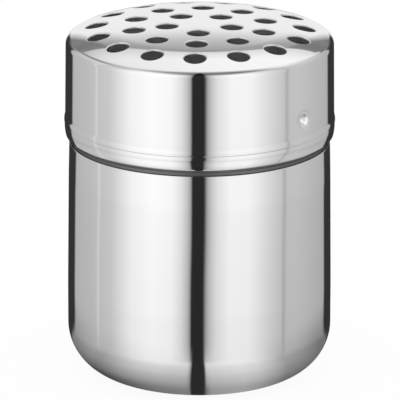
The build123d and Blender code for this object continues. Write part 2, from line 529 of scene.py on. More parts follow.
@dataclass
class Piece:
    """A piece of the shaker, shown instead of the CAD node that has its name."""

    node: str = ""
    proud: float = 0.10  # mm that it stands outside the CAD node
    radius: float = field(init=False)  # outside
    bottom: float = field(init=False)  # height
    top: float = field(init=False)  # height

    def __post_init__(self) -> None:
        """Measures the CAD node."""
        low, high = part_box(self.node)
        self.radius = high.x / MM + self.proud
        self.bottom = low.z / MM
        self.top = high.z / MM

    def patches(self) -> list[Patch]:
        """The surface of the piece, whole."""
        raise NotImplementedError

    def dress(self, steels: list[bpy.types.Material]) -> bpy.types.Object:
        """Makes the piece and puts it on its body.

        Args:
            steels: the materials, in the order of the skins.

        Returns:
            The finished object.
        """
        mesh = piece_mesh(f"{self.node}_skin", self.patches())
        for steel in steels:
            mesh.materials.append(steel)
        shown = bpy.data.objects.new(f"{self.node}_skin", mesh)
        bpy.context.scene.collection.objects.link(shown)
        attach(shown, self.node)
        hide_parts(self.node)
        return shown


@dataclass
class Bayonet:
    """The two pressed pips of the cap and the slots of the canister that take them."""

    height: float = 74.1  # middle of a pip
    angles: tuple[float, float] = (-37.6 + 360, -37.6 + 180)  # degrees about +Z
    ball: float = 2.3  # radius of a pip's round end, from the outside of the skirt
    roll: float = 0.9  # where the inside of the skirt rolls into the pip
    dimple: tuple[Point, Point] = ((3.3, 0.3), (2.1, 1.2))  # two hollows outside: radius, depth
    slot_half: float = 1.95  # half the width of a slot
    lock_turn: float = 20.0  # degrees, clockwise seen from above
    punch_corner: float = 0.5  # radius of the slots' other corners


@dataclass
class Canister(Piece):
    """Deep-drawn canister with a pushed-up base, a large foot radius and a slotted neck."""

    node: str = "canister"
    proud: float = 0.16
    sheet: float = 0.5
    shoulder: float = 62.6  # height of the shoulder
    taper_start: float = 24.0  # height from which the wall leans in
    taper: tuple[float, float] = (0.32, 54.0)  # how far it has come in, at a height
    draw_in: float = 0.51  # how far it has come in at the shoulder
    blend: float = 300.0  # radius between stretches of the wall
    shoulder_corner: float = 0.2  # radius between wall and shoulder
    neck: float = 33.4  # outside radius
    neck_root: float = 0.12  # radius between shoulder and neck
    root_gain: float = 0.3  # how much that radius grows for each mm below the outside
    painted_shade_top: float = 64.8  # height up to which the foot of the neck is unpolished and darkened as painted shade
    foot: float = 13.0  # radius between wall and base
    standing_ring: float = 4.4  # width of the flat ring that the canister stands on
    slope: float = 2.5  # width of the slope inside the standing ring
    recess: float = 0.8  # how far the middle of the base is pushed up
    base_blend: float = 1.5  # radius at both ends of the slope
    neck_cut: float = 70.9  # below this height the neck is plain, above it has slots
    edge: float = 0.12  # roundness of the punched edges
    grid: float = 0.7  # mm between rows of loose points on the slotted part
    bayonet: Bayonet = field(default_factory=Bayonet)

    def wall(self, depth: float) -> Run:
        """The section from the middle of the base to the middle of the shoulder's flat.

        Args:
            depth: how far below the outside of the sheet the line runs.

        Returns:
            The section, walked outwards and up.
        """
        ring = self.radius - self.foot - self.standing_ring
        steep = math.atan2(self.recess, self.slope)
        slant = depth * math.tan(steep / 2)
        come_in, height = self.taper
        corners = [
            (0.0, self.recess + depth),
            (ring - self.slope + slant, self.recess + depth),
            (ring + slant, depth),
            (self.radius - depth, depth),
            (self.radius - depth, self.taper_start),
            (self.radius - come_in - depth, height),
            (self.radius - self.draw_in - depth, self.shoulder - depth),
            (self.shoulder_middle - depth, self.shoulder - depth),
        ]
        blend = self.base_blend
        radii = [blend + depth, blend - depth, self.foot - depth, self.blend, self.blend]
        return rounded(corners, radii + [max(self.shoulder_corner - depth, self.edge)])

    @property
    def shoulder_middle(self) -> float:
        """Radius halfway across the shoulder's flat."""
        return (self.radius - self.draw_in + self.neck) / 2

    def neck_foot(self, depth: float, top: float) -> Run:
        """The section from the middle of the shoulder's flat up the neck.

        Args:
            depth: how far below the outside of the sheet the line runs.
            top: height where it ends.

        Returns:
            The section, walked inwards and up.
        """
        corners = [
            (self.shoulder_middle - depth, self.shoulder - depth),
            (self.neck - depth, self.shoulder - depth),
            (self.neck - depth, top),
        ]
        return rounded(corners, [self.neck_root + self.root_gain * depth])

    def slotted_mouth(self) -> Run:
        """The upper edge of the neck laid flat: distance round the neck, and height.

        Each slot is an L: down from the mouth, then backwards by the locking turn to a round end.

        Returns:
            The edge, walked once round, with the sheet to its right.
        """
        pip = self.bayonet
        half, arm = pip.slot_half, self.neck * math.radians(pip.lock_turn)
        low, high = pip.height - half, pip.height + half
        corners, radii = [(0.0, self.top)], []
        for angle in sorted(pip.angles):
            middle = self.neck * math.radians(angle)
            corners += [
                (middle - half, self.top),
                (middle - half, high),
                (middle - arm - half, high),
                (middle - arm - half, low),
                (middle + half, low),
                (middle + half, self.top),
            ]
            radii += [pip.punch_corner] * 2 + [half] * 3 + [pip.punch_corner]
        corners.append((self.neck * FULL_TURN, self.top))
        return rounded(corners, radii).finer(self.neck * FULL_TURN / TURN_STEPS)

    def around(self, flat: Array, depth: Array, tilt: Array, away: Array) -> tuple[Array, Array]:
        """Wraps points of the flat neck round the axis.

        Args:
            flat: (distance round the neck, height) pairs.
            depth: how far each lies below the outside.
            tilt: angle of its normal, 0 straight out, a quarter turn along away.
            away: unit vectors in the flat that lead out of the sheet.

        Returns:
            Points and normals.
        """
        out, along = round_axis(flat[..., 0] / self.neck)
        points = out * (self.neck - depth)[..., None] + UP * flat[..., 1:]
        sideways = along * away[..., :1] + UP * away[..., 1:]
        return points, out * np.cos(tilt)[..., None] + sideways * np.sin(tilt)[..., None]

    def neck_sheet(self, mouth: Run) -> list[Patch]:
        """Outside and inside of the slotted part of the neck.

        Args:
            mouth: the upper edge of the neck, laid flat.

        Returns:
            Both sides, from the plain part of the neck to the roundness of the edge.
        """
        turns = np.linspace(0, self.neck * FULL_TURN, TURN_STEPS + 1)
        border = mouth.points + mouth.normals * self.edge
        border[[0, -1], 0] = turns[[0, -1]]
        foot = np.stack([turns, np.full_like(turns, self.neck_cut)], axis=1)
        heights = np.arange(self.neck_cut, self.top, self.grid)
        loose = np.stack(np.meshgrid(turns[1:-1], heights[1:]), axis=-1).reshape(-1, 2)
        flat, triangles = filled([np.concatenate([foot, border[::-1]])], loose, self.grid / 2)
        level = np.zeros(len(flat))
        patches = []
        for depth, tilt, skin in ((0.0, 0.0, Skin.POLISHED), (self.sheet, math.pi, Skin.DRAWN)):
            points, normals = self.around(flat, level + depth, level + tilt, 0 * flat)
            patches.append(Patch(points, normals, triangles, skin))
        return patches

    def neck_edge(self, mouth: Run) -> Patch:
        """The edge between the two sides of the neck: a quarter round from each of them.

        At a tilt b, with e the edge's radius, a quarter's line lies e (1 - sin b) back from the
        mouth, and e cos b above or below the depth of its centre.

        Args:
            mouth: the upper edge of the neck, laid flat.

        Returns:
            The patch.
        """
        quarter = np.linspace(0, math.pi / 2, EDGE_ROWS)
        tilts = np.concatenate([quarter, quarter + math.pi / 2])
        centres = np.repeat([self.edge, self.sheet - self.edge], EDGE_ROWS)
        depths = centres - self.edge * np.cos(tilts)
        backs = self.edge * (1 - np.sin(tilts))
        rows = mouth.points[None] + backs[:, None, None] * mouth.normals[None]
        rows[:, [0, -1], 0] = [0, self.neck * FULL_TURN]
        depth, tilt = (np.broadcast_to(v[:, None], rows.shape[:2]) for v in (depths, tilts))
        away = np.broadcast_to(-mouth.normals, rows.shape)
        return grid_patch(*self.around(rows, depth, tilt, away), Skin.CUT)

    def patches(self) -> list[Patch]:
        """The surface of the canister.

        Returns:
            Wall, foot of the neck and neck outside, the same inside, and the slotted part.
        """
        plain = rounded([(self.neck, z) for z in (self.painted_shade_top, self.neck_cut)], [])
        hidden = [self.wall(self.sheet), self.neck_foot(self.sheet, self.neck_cut)]
        backs = [Run(run.points[::-1], -run.normals[::-1]) for run in hidden]
        mouth = self.slotted_mouth()
        return [
            turned(self.wall(0.0), Skin.POLISHED),
            # the foot of the neck is darkened as painted shade of the groove
            turned(self.neck_foot(0.0, self.painted_shade_top), Skin.GROOVE),
            turned(plain, Skin.POLISHED),
            *(turned(back, Skin.DRAWN) for back in backs),
            *self.neck_sheet(mouth),
            self.neck_edge(mouth),
        ]


@dataclass
class RimHoop(Piece):
    """Hoop round the foot of the cap: bulging side, slanted underside and crimped top lip."""

    node: str = "rim_hoop"
    proud: float = 0.05
    sheet: float = 0.45
    side_radius: float = 12.4  # of the bulging side, in section
    side_share: float = 0.86  # part of it that leaves room for the arcs above and below
    spare: float = 0.012  # how far the side then stands out from the arc it is built on
    widest: float = 67.3  # height where the side is widest
    crease: float = 64.65  # height where the side turns in to the underside
    crease_radius: float = 0.55
    under_slope: float = math.radians(50.0)  # of the underside, above level
    polish_past: float = 0.3  # mm that the polish runs on past the crease; beyond it the underside is darkened as painted shade
    foot_inner: float = 33.55  # inside radius at the foot
    lip_inner: float = 34.4  # inside radius of the crimped lip
    lip_height: float = 0.55  # how thick the lip is
    edge: float = 0.1  # roundness of the other corners

    def on_side(self, angle: float, depth: float) -> Point:
        """A point of the bulging side, at an angle above level as seen from its centre."""
        reach, centre = self.side_radius - depth, self.radius - self.side_radius - self.spare
        return (centre + reach * math.cos(angle), self.widest + reach * math.sin(angle))

    def bend(self, low: float, high: float, depth: float) -> Point:
        """Where the lines that touch the side at two angles cross."""
        ends = (self.on_side(low, depth), self.on_side(high, depth))
        return meeting(ends[0], low + math.pi / 2, ends[1], high + math.pi / 2)

    def patches(self) -> list[Patch]:
        """The surface of the hoop: its closed section carried round the axis.

        Returns:
            What shows, polished from just under the crease to the lip, and the rest unpolished and
            darkened as painted shade.
        """
        depth, tight = self.sheet, self.side_radius - self.sheet
        low = -math.asin((self.widest - self.crease) / self.side_radius)
        high = math.asin((self.top - self.widest) / self.side_radius)
        lip_foot = self.top - self.lip_height
        root = math.asin((lip_foot - self.widest) / tight)
        crease, under = self.on_side(low, 0.0), self.under_slope
        foot = meeting(crease, under, (0.0, self.bottom), 0.0)
        raised = (foot[0] - depth * math.tan(under / 2), self.bottom + depth)
        inner_crease = meeting(raised, under, self.on_side(low, depth), low + math.pi / 2)
        joint = tuple(np.array(crease) - self.polish_past * heading(under))
        lip_middle = (self.lip_inner, self.top - self.lip_height / 2)
        side, edge = self.side_share * self.side_radius, self.edge
        hidden_radii = [edge, edge, side - depth, edge, edge, edge, edge, edge]
        shown = [
            joint,
            crease,
            self.bend(low, high, 0.0),
            self.on_side(high, 0.0),
            (self.lip_inner, self.top),
            lip_middle,
        ]
        hidden = [
            lip_middle,
            (self.lip_inner, lip_foot),
            self.on_side(root, depth),
            self.bend(low, root, depth),
            inner_crease,
            raised,
            (self.foot_inner, self.bottom + depth),
            (self.foot_inner, self.bottom),
            foot,
            joint,
        ]
        return [
            turned(rounded(shown, [self.crease_radius, side, edge, edge]), Skin.POLISHED),
            # the underside and inside of the hoop are darkened as painted shade of the groove
            turned(rounded(hidden, hidden_radii), Skin.GROOVE),
        ]


@dataclass
class Cap(Piece):
    """Perforated cap: domed crown, drafted skirt with pressed pips, swell and tail."""

    node: str = "shaker_cap"
    sheet: float = 0.5
    crown_radius: float = 264.0  # of the shallow arc over the middle
    crown_edge_radius: float = 42.0  # of the rounder arc outside it
    crown_edge_slope: float = math.radians(21.0)  # of that arc where the corner begins
    corner: float = 2.1  # radius between crown and skirt
    draft: float = 0.2  # how far the skirt narrows on its way up
    flare: float = 0.25  # how far the swell over the hoop stands out
    flare_height: float = 1.6  # over which it does so
    flare_lip: float = 0.3  # upright stretch below it
    tail_inner: float = 33.8  # inside radius of the tail that stands in the hoop
    tail_length: float = 3.02
    bead: float = 0.25  # how far the bead stands out from the tail
    bead_drop: float = 1.9  # from the step above the tail down to the bead's middle
    edge: float = 0.1  # roundness of the small corners
    hole_radius: float = 2.9
    hole_margin: float = 7.9  # outside of the skirt to the middles of the outer ring of holes
    hole_counts: tuple[int, ...] = (5, 10, 15)
    ring_shares: tuple[float, ...] = (0.325, 0.651, 1.0)  # radii of the rings, the outer one's as 1
    hole_roll: float = 0.3  # how the crown rolls over into a hole
    hole_field: float = 3.75  # radius of the ring of surface that goes with a hole
    crown_field: float = 31.4  # the crown is laid out in plan up to this radius
    pip_field: float = 3.4  # radius of the skirt that goes with a pip
    band_reach: float = 3.8  # the skirt is laid out flat this far above and below the pips
    grid: float = 0.8  # mm between rows of loose points
    pip_margin: float = 0.3  # how far the skirt's loose points keep from the pips
    spoke_step: float = math.radians(1.7)  # between loose points on the crown's outer rings
    spoke_reach: float = 27.0  # mm: nearer the axis the rings have fewer points
    bayonet: Bayonet = field(default_factory=Bayonet)
    skirt: float = field(init=False)  # outside radius at the foot of the skirt
    flare_top: float = field(init=False)  # height of that place
    crown_centre: float = field(init=False)  # height of the centre of the shallow arc
    inner_slope: float = field(init=False)  # of the crown where its two arcs meet
    edge_centre: Point = field(init=False)  # of the rounder arc
    corner_centre: Point = field(init=False)  # of the corner between crown and skirt

    def __post_init__(self) -> None:
        """Works out where the arcs of the crown meet."""
        super().__post_init__()
        self.skirt = self.radius - self.flare
        self.flare_top = self.bottom + self.tail_length + self.flare_lip + self.flare_height
        slope = self.crown_edge_slope
        corner_in = self.skirt - self.draft - self.corner * (1 - math.sin(slope))
        reach = corner_in - self.crown_edge_radius * math.sin(slope)
        between = self.crown_radius - self.crown_edge_radius
        self.inner_slope = math.asin(reach / between)
        self.crown_centre = self.top - self.crown_radius
        self.edge_centre = (reach, self.crown_centre + between * math.cos(self.inner_slope))
        past = self.crown_edge_radius - self.corner
        self.corner_centre = (
            self.edge_centre[0] + past * math.sin(slope),
            self.edge_centre[1] + past * math.cos(slope),
        )

    def crown(self, out: Array, depth: float) -> tuple[Array, Array]:
        """Height of the crown, and how steeply it falls.

        It is a shallow arc centred on the axis, and outside the radius where they touch a rounder
        arc. A depth below the outside shortens both radii and leaves the centres where they are.

        Args:
            out: distances from the axis.
            depth: how far below the outside.

        Returns:
            Heights, and slopes below level in radians.
        """
        wide, tight = self.crown_radius - depth, self.crown_edge_radius - depth
        outer = out > wide * math.sin(self.inner_slope)
        across = np.where(outer, out - self.edge_centre[0], out)
        radius = np.where(outer, tight, wide)
        centre = np.where(outer, self.edge_centre[1], self.crown_centre)
        return centre + np.sqrt(radius**2 - across**2), np.arcsin(across / radius)

    def crown_surface(self, plan: Array, depth: float) -> tuple[Array, Array]:
        """Lays places in plan on the crown.

        Args:
            plan: (x, y) pairs.
            depth: how far below the outside.

        Returns:
            The points, and the crown's normals there.
        """
        out = np.hypot(plan[..., 0], plan[..., 1])
        height, slope = self.crown(out, depth)
        away = plan / np.maximum(out, MERGE_GRID)[..., None]
        points = np.concatenate([plan, height[..., None]], axis=-1)
        flat = away * np.sin(slope)[..., None]
        return points, np.concatenate([flat, np.cos(slope)[..., None]], axis=-1)

    def hole_centres(self) -> Array:
        """Places of the holes in plan: in every ring one hole faces -Y.

        Returns:
            One (x, y) pair for each hole.
        """
        rings = []
        for count, share in zip(self.hole_counts, self.ring_shares):
            reach = share * (self.skirt - self.hole_margin)
            rings.append(reach * heading(circle(count) - math.pi / 2))
        return np.concatenate(rings)

    def crown_points(self) -> Array:
        """Loose points of the crown in plan, on rings with fewer of them towards the middle.

        A ring of radius r keeps every nth spoke. The number n is spoke_reach / r, rounded.

        Returns:
            The points.
        """
        reach = np.arange(self.grid, self.crown_field, self.grid)
        number = np.arange(math.ceil(FULL_TURN / self.spoke_step))
        ring, spoke = (v.ravel() for v in np.meshgrid(reach, number))
        kept = spoke % np.maximum(1, np.round(self.spoke_reach / ring)).astype(int) == 0
        return ring[kept, None] * heading(spoke[kept] * self.spoke_step)

    def crown_sheet(self) -> list[Patch]:
        """The crown between its holes.

        Returns:
            Its outside and its inside.
        """
        rim = self.crown_field * heading(circle(TURN_STEPS))
        ring = self.hole_field * heading(circle(RING_STEPS))
        loops = [rim] + [ring + centre for centre in self.hole_centres()]
        flat, triangles = filled(loops, self.crown_points(), self.grid / 2)
        outer, up = self.crown_surface(flat, 0.0)
        inner, down = self.crown_surface(flat, self.sheet)
        return [
            Patch(outer, up, triangles, Skin.POLISHED),
            Patch(inner, -down, triangles, Skin.DRAWN),
        ]

    def hole(self, centre: Array) -> list[Patch]:
        """One shaker hole, with the crown round it.

        A row at a distance from the hole's middle lies on the crown less the drop of the roll. On
        a roll of radius r, at an angle b, the distance is the hole's radius plus r (1 - sin b) and
        the drop r (1 - cos b).

        Args:
            centre: middle of the hole in plan.

        Returns:
            Crown and rolled edge outside, the same inside, and the wall of the hole.
        """
        spoke = heading(np.linspace(0, FULL_TURN, RING_STEPS + 1))
        inward = np.pad(-spoke, ((0, 0), (0, 1)))
        tilt = np.append(0.0, np.linspace(0, math.pi / 2, ROLL_ROWS))
        lean = tilt[:, None, None]
        patches, ends = [], []
        for depth, roll, sign, skin in (
            (0.0, self.hole_roll, 1.0, Skin.POLISHED),
            (self.sheet, self.edge, -1.0, Skin.DRAWN),
        ):
            reach = self.hole_radius + roll * (1 - np.sin(tilt))
            reach[0] = self.hole_field
            points, normals = self.crown_surface(centre + reach[:, None, None] * spoke, depth)
            points[..., 2] -= sign * roll * (1 - np.cos(lean[..., 0]))
            normals = sign * normals * np.cos(lean) + inward * np.sin(lean)
            patches.append(grid_patch(points[:2], normals[:2], skin))
            patches.append(grid_patch(points[1:], normals[1:], Skin.CUT))
            ends.append(points[-1])
        wall = np.broadcast_to(inward, (2, *inward.shape))
        return [*patches, grid_patch(np.stack(ends), wall, Skin.CUT)]

    @property
    def lean(self) -> float:
        """How much the skirt narrows for each mm of height."""
        return self.draft / (self.corner_centre[1] - self.flare_top)

    def skirt_radius(self, height: float | Array) -> float | Array:
        """Outside radius of the skirt, which narrows evenly up to the corner of the crown."""
        return self.skirt - self.lean * (height - self.flare_top)

    def on_skirt(self, flat: Array, depth: Array) -> tuple[Array, Array, Array]:
        """Wraps points of the flat skirt round the axis.

        Args:
            flat: (distance round the skirt, height) pairs.
            depth: how far each lies below the outside.

        Returns:
            Points, the way straight out and the way round, at each of them.
        """
        out, along = round_axis(flat[..., 0] / self.skirt)
        radius = self.skirt_radius(flat[..., 1]) - depth
        return out * radius[..., None] + UP * flat[..., 1:], unit(out + UP * self.lean), along

    def skirt_band(self) -> list[Patch]:
        """The part of the skirt that carries the pips, laid flat, filled and wrapped round.

        Returns:
            The skirt outside with its hollows, and inside with its pips.
        """
        pip = self.bayonet
        low, high = pip.height - self.band_reach, pip.height + self.band_reach
        turns = np.linspace(0, self.skirt * FULL_TURN, TURN_STEPS + 1)
        edges = [np.stack([turns, np.full_like(turns, z)], axis=1) for z in (low, high)]
        ring = self.pip_field * heading(circle(RING_STEPS))
        centres = [np.array([self.skirt * math.radians(a), pip.height]) for a in pip.angles]
        loops = [np.concatenate([edges[0], edges[1][::-1]])] + [ring + c for c in centres]
        heights = np.arange(low, high, self.grid)
        loose = np.stack(np.meshgrid(turns[1:-1], heights[1:]), axis=-1).reshape(-1, 2)
        flat, triangles = filled(loops, loose, self.pip_margin)
        patches = []
        for depth, sign, skin, section in (
            (0.0, 1.0, Skin.POLISHED, self.pip_outside()),
            (self.sheet, -1.0, Skin.DRAWN, self.pip_inside()),
        ):
            points, out, _ = self.on_skirt(flat, depth + 0 * flat[:, 0])
            patches.append(Patch(points, sign * out, triangles, skin))
            patches += [self.pip(centre, *section, sign, skin) for centre in centres]
        return patches

    def pip_outside(self) -> tuple[Array, Array, Array]:
        """Section of the hollow that a pip leaves outside.

        It is the sum of a wide and a narrow hollow. The depth of each is half its greatest times
        1 + cos(pi reach / radius), so neither has a sharp rim.

        Returns:
            Reaches from the middle, depths below the outside, and tilts.
        """
        reach = np.linspace(0, self.bayonet.dimple[0][0], HOLLOW_ROWS)
        deep, fall = 0 * reach, 0 * reach
        for radius, deepest in self.bayonet.dimple:
            turn = math.pi * np.minimum(reach / radius, 1.0)
            deep += deepest / 2 * (1 + np.cos(turn))
            fall += deepest / 2 * math.pi / radius * np.sin(turn)
        tilt = np.arctan(fall)
        return np.append(reach, self.pip_field), np.append(deep, 0.0), np.append(tilt, 0.0)

    def pip_inside(self) -> tuple[Array, Array, Array]:
        """Section of a pip inside the skirt.

        At an angle b from straight in, the ball has distance R sin b from the middle and depth
        R cos b. The roll r touches it and the skirt: its centre lies r below the skirt's own skin
        and R + r from the middle of the ball.

        Returns:
            Reaches from the middle, depths below the outside, and tilts.
        """
        roll, ball = self.bayonet.roll, self.bayonet.ball
        roll_deep = self.sheet + roll
        roll_out = math.sqrt((ball + roll) ** 2 - roll_deep**2)
        meet = math.asin(roll_out / (ball + roll))
        on_ball, on_roll = np.linspace(0, meet, BALL_ROWS), np.linspace(meet, 0, FILLET_ROWS)
        reach = np.concatenate([ball * np.sin(on_ball), roll_out - roll * np.sin(on_roll)])
        deep = np.concatenate([ball * np.cos(on_ball), roll_deep - roll * np.cos(on_roll)])
        tilt = np.concatenate([on_ball, on_roll, [0.0]])
        return np.append(reach, self.pip_field), np.append(deep, self.sheet), tilt

    def pip(
        self, centre: Array, reach: Array, deep: Array, tilt: Array, sign: float, skin: Skin
    ) -> Patch:
        """One side of a pressed pip: its section turned about its middle on the flat skirt.

        Args:
            centre: middle of the pip on the flat skirt.
            reach: distances of the section's points from the middle, out to pip_field.
            deep: how far each lies below the outside of the skirt.
            tilt: how far its normal leans towards the middle.
            sign: 1 for the outside, -1 for the inside.
            skin: the finish.

        Returns:
            The patch.
        """
        spoke = heading(np.linspace(0, FULL_TURN, RING_STEPS + 1))
        flat = centre + reach[:, None, None] * spoke
        points, out, along = self.on_skirt(flat, np.broadcast_to(deep[:, None], flat.shape[:2]))
        away = along * spoke[:, :1] + UP * spoke[:, 1:]
        tilt = tilt[:, None, None]
        return grid_patch(points, sign * (out * np.cos(tilt) - away * np.sin(tilt)), skin)

    def shoulder_line(self, depth: float) -> list[Point]:
        """Corners of the section from the laid-out crown to the laid-out skirt.

        Args:
            depth: how far below the outside of the sheet the line runs.

        Returns:
            Its start, the bend of the crown's outer arc, the corner of the cap, and its end.
        """
        height, fall = (float(v) for v in self.crown(np.array(self.crown_field), depth))
        slope, tight = self.crown_edge_slope, self.crown_edge_radius - depth
        touch = (
            self.edge_centre[0] + tight * math.sin(slope),
            self.edge_centre[1] + tight * math.cos(slope),
        )
        high = self.bayonet.height + self.band_reach
        skirt_end = (self.skirt_radius(high) - depth, high)
        start = (self.crown_field, height)
        bend = meeting(start, -fall, touch, -slope)
        corner = meeting(touch, -slope, skirt_end, math.pi / 2 + math.atan(self.lean))
        return [start, bend, corner, skirt_end]

    def foot(self) -> Run:
        """Section below the laid-out skirt: down inside, round the tail and up the swell.

        The swell is an S of two equal arcs. Over a height h it stands out by f, so each has the
        radius (h h + f f) / 4 f.

        Returns:
            The section.
        """
        low = self.bayonet.height - self.band_reach
        skirt_low = self.skirt_radius(low)
        inner = self.skirt - self.sheet
        tail_outer, step = self.tail_inner + self.sheet, self.bottom + self.tail_length
        bow = (self.flare_height**2 + self.flare**2) / (4 * self.flare)
        half_turn = math.asin(self.flare_height / 2 / bow)
        reach = bow * math.tan(half_turn / 2)
        bead, bead_middle = self.bead, step - self.bead_drop
        slant = inner - self.tail_inner
        corners = [
            (skirt_low - self.sheet, low),
            (inner, self.flare_top),
            (self.tail_inner, self.flare_top - slant),
            (self.tail_inner, self.bottom),
            (tail_outer, self.bottom),
            (tail_outer, bead_middle - 2 * bead),
            (tail_outer + bead, bead_middle - bead / 2),
            (tail_outer + bead, bead_middle + bead / 2),
            (tail_outer, bead_middle + 2 * bead),
            (tail_outer, step),
            (self.radius, step),
            (self.radius, self.flare_top - self.flare_height + reach),
            (self.skirt, self.flare_top - reach),
            (skirt_low, low),
        ]
        edge = self.edge
        radii = [edge, edge, edge, edge, bead, bead / 2, bead / 2, bead, edge, edge / 2]
        return rounded(corners, radii + [SHY * bow, SHY * bow])

    def patches(self) -> list[Patch]:
        """The surface of the cap.

        Returns:
            Corner outside and inside, foot, crown, skirt with its pips, and holes.
        """
        outer, inner = self.shoulder_line(0.0), self.shoulder_line(self.sheet)
        tight, corner = self.crown_edge_radius, self.corner
        outside = rounded(outer[::-1], [SHY * corner, tight])
        inside_run = rounded(inner, [tight - self.sheet, SHY * (corner - self.sheet)])
        patches = [
            turned(outside, Skin.POLISHED),
            turned(inside_run, Skin.DRAWN),
            turned(self.foot(), Skin.POLISHED),
            *self.crown_sheet(),
            *self.skirt_band(),
        ]
        for centre in self.hole_centres():
            patches += self.hole(centre)
        return patches


# ---------------------------------------------------------------- studio


def light_of(tone: float, mirror: float = FINISHES[Skin.POLISHED].tone) -> float:
    """How bright a card has to be for polished steel to show it at a screen tone of 0 to 1.

    A screen gives a tone t the light ((t + 0.055) / 1.055) to the power 2.4.

    Args:
        tone: the tone that the steel shows.
        mirror: how much of the card's light the steel gives back.

    Returns:
        The card's brightness.
    """
    return ((tone + 0.055) / 1.055) ** 2.4 / mirror


def by_azimuth(
    bench: Bench, azimuth: bpy.types.NodeSocket, stops: tuple[Point, ...]
) -> bpy.types.NodeSocket:
    """Looks up stops given in degrees and tones, and returns brightness."""
    place = bench.scaled(azimuth, (-math.pi, math.pi), (0, 1))
    return bench.ramp(place, [((a + 180) / 360, light_of(t)) for a, t in stops])


def ground_disc(name: str, radius: float) -> tuple[bpy.types.Object, Bench]:
    """A flat disc on the ground with a material of its own.

    Args:
        name: name of the disc and of its material.
        radius: in metres.

    Returns:
        The disc, and the empty bench of its material.
    """
    bpy.ops.mesh.primitive_circle_add(vertices=DISC_STEPS, radius=radius, fill_type="NGON")
    disc = bpy.context.object
    disc.name = name
    paint = bpy.data.materials.new(name)
    paint.use_nodes = True
    disc.data.materials.append(paint)
    return disc, Bench(paint.node_tree)


@dataclass(frozen=True)
class Walls:
    """Cards, soft boxes and flags that stand round the shaker.

    Angles are in degrees. Azimuths start at the camera and run towards its right, and each stop is
    the tone that the steel shows when it looks that way.
    """

    stops: tuple[Point, ...] = (
        (-180.0, 0.20),  # left flag
        (-143.0, 0.20),
        (-140.0, 0.70),  # side card
        (-120.0, 0.73),
        (-109.0, 0.74),
        (-102.0, 0.76),
        (-100.0, 0.84),  # gap between two cards
        (-98.0, 0.76),
        (-84.0, 0.79),
        (-62.0, 0.95),  # left soft box
        (-43.0, 0.99),
        (-25.0, 0.97),
        (-16.9, 0.886),
        (-11.7, 0.765),
        (-8.9, 0.66),
        (-7.05, 0.16),  # opening for the camera
        (3.6, 0.16),
        (4.9, 0.57),
        (6.2, 0.66),
        (9.2, 0.77),
        (14.4, 0.875),
        (26.0, 0.96),  # right soft box
        (44.0, 0.953),
        (63.0, 0.84),
        (76.0, 0.765),
        (79.0, 0.667),  # seam between two cards
        (82.0, 0.755),
        (92.0, 0.76),  # side card
        (108.0, 0.735),
        (140.0, 0.68),
        (143.0, 0.20),  # right flag
        (180.0, 0.20),
    )
    flag_edge: float = 141.0  # azimuth, to either side, beyond which there is a flag
    flag_top: Point = (5.0, 45.0)  # elevations over which the flags fade out
    above_flags: float = 0.90  # tone above them
    side_edge: float = 101.0  # azimuth, to either side, where the cards beside the flags begin
    side_gain: float = 0.09  # how much lighter those cards grow on the way up
    gap: Point = (166.0, 170.0)  # azimuths over which the gap between the flags opens
    gap_foot: Point = (-12.0, -7.0)  # elevations over which it opens
    shift: float = 1.0  # the walls stand this far to the right above shift_step
    shift_step: Point = (-16.8, -16.2)  # elevations
    rows: tuple[Point, ...] = (  # by elevation: a tone whose light multiplies that of the walls
        (-90.0, 0.70),
        (-60.0, 0.80),
        (-45.0, 0.88),
        (-32.0, 1.0),
        (-24.0, 1.0),
        (-19.5, 0.945),
        (-17.0, 0.97),
        (-15.2, 1.0),
        (0.0, 1.0),
        (12.0, 1.018),
        (90.0, 1.018),
    )

    def upper_stops(self) -> tuple[Point, ...]:
        """The stops higher up: nothing hides the wall behind the flags, and the side cards gain."""
        stops = [(a, t + self.side_gain * (abs(a) > self.side_edge)) for a, t in self.stops]
        return tuple((a, self.above_flags if abs(a) > self.flag_edge else t) for a, t in stops)

    def light(
        self, bench: Bench, azimuth: bpy.types.NodeSocket, rise: bpy.types.NodeSocket
    ) -> bpy.types.NodeSocket:
        """Brightness of the walls in a direction.

        It goes over from the stops to the upper stops with the height, and in the gap between the
        flags.

        Args:
            bench: the world's bench.
            azimuth: of the direction, in radians.
            rise: its elevation, in radians.

        Returns:
            The brightness.
        """
        shifts = (0, math.radians(self.shift))
        shift = bench.scaled(rise, radians(self.shift_step), shifts, ease=True)
        turn = bench.math("SUBTRACT", azimuth, shift)
        low, high = (by_azimuth(bench, turn, s) for s in (self.stops, self.upper_stops()))
        ends = ((bench.math("ABSOLUTE", azimuth), self.gap), (rise, self.gap_foot))
        gap = bench.math("MULTIPLY", *(bench.scaled(v, radians(over), (0, 1)) for v, over in ends))
        top = bench.scaled(rise, radians(self.flag_top), (0, 1), ease=True)
        lit = bench.mix(low, high, bench.math("MAXIMUM", gap, top))
        upwards = bench.scaled(rise, (-math.pi / 2, math.pi / 2), (0, 1))
        rows = bench.ramp(upwards, [((a + 90) / 180, light_of(t, 1.0)) for a, t in self.rows])
        return bench.math("MULTIPLY", lit, rows)


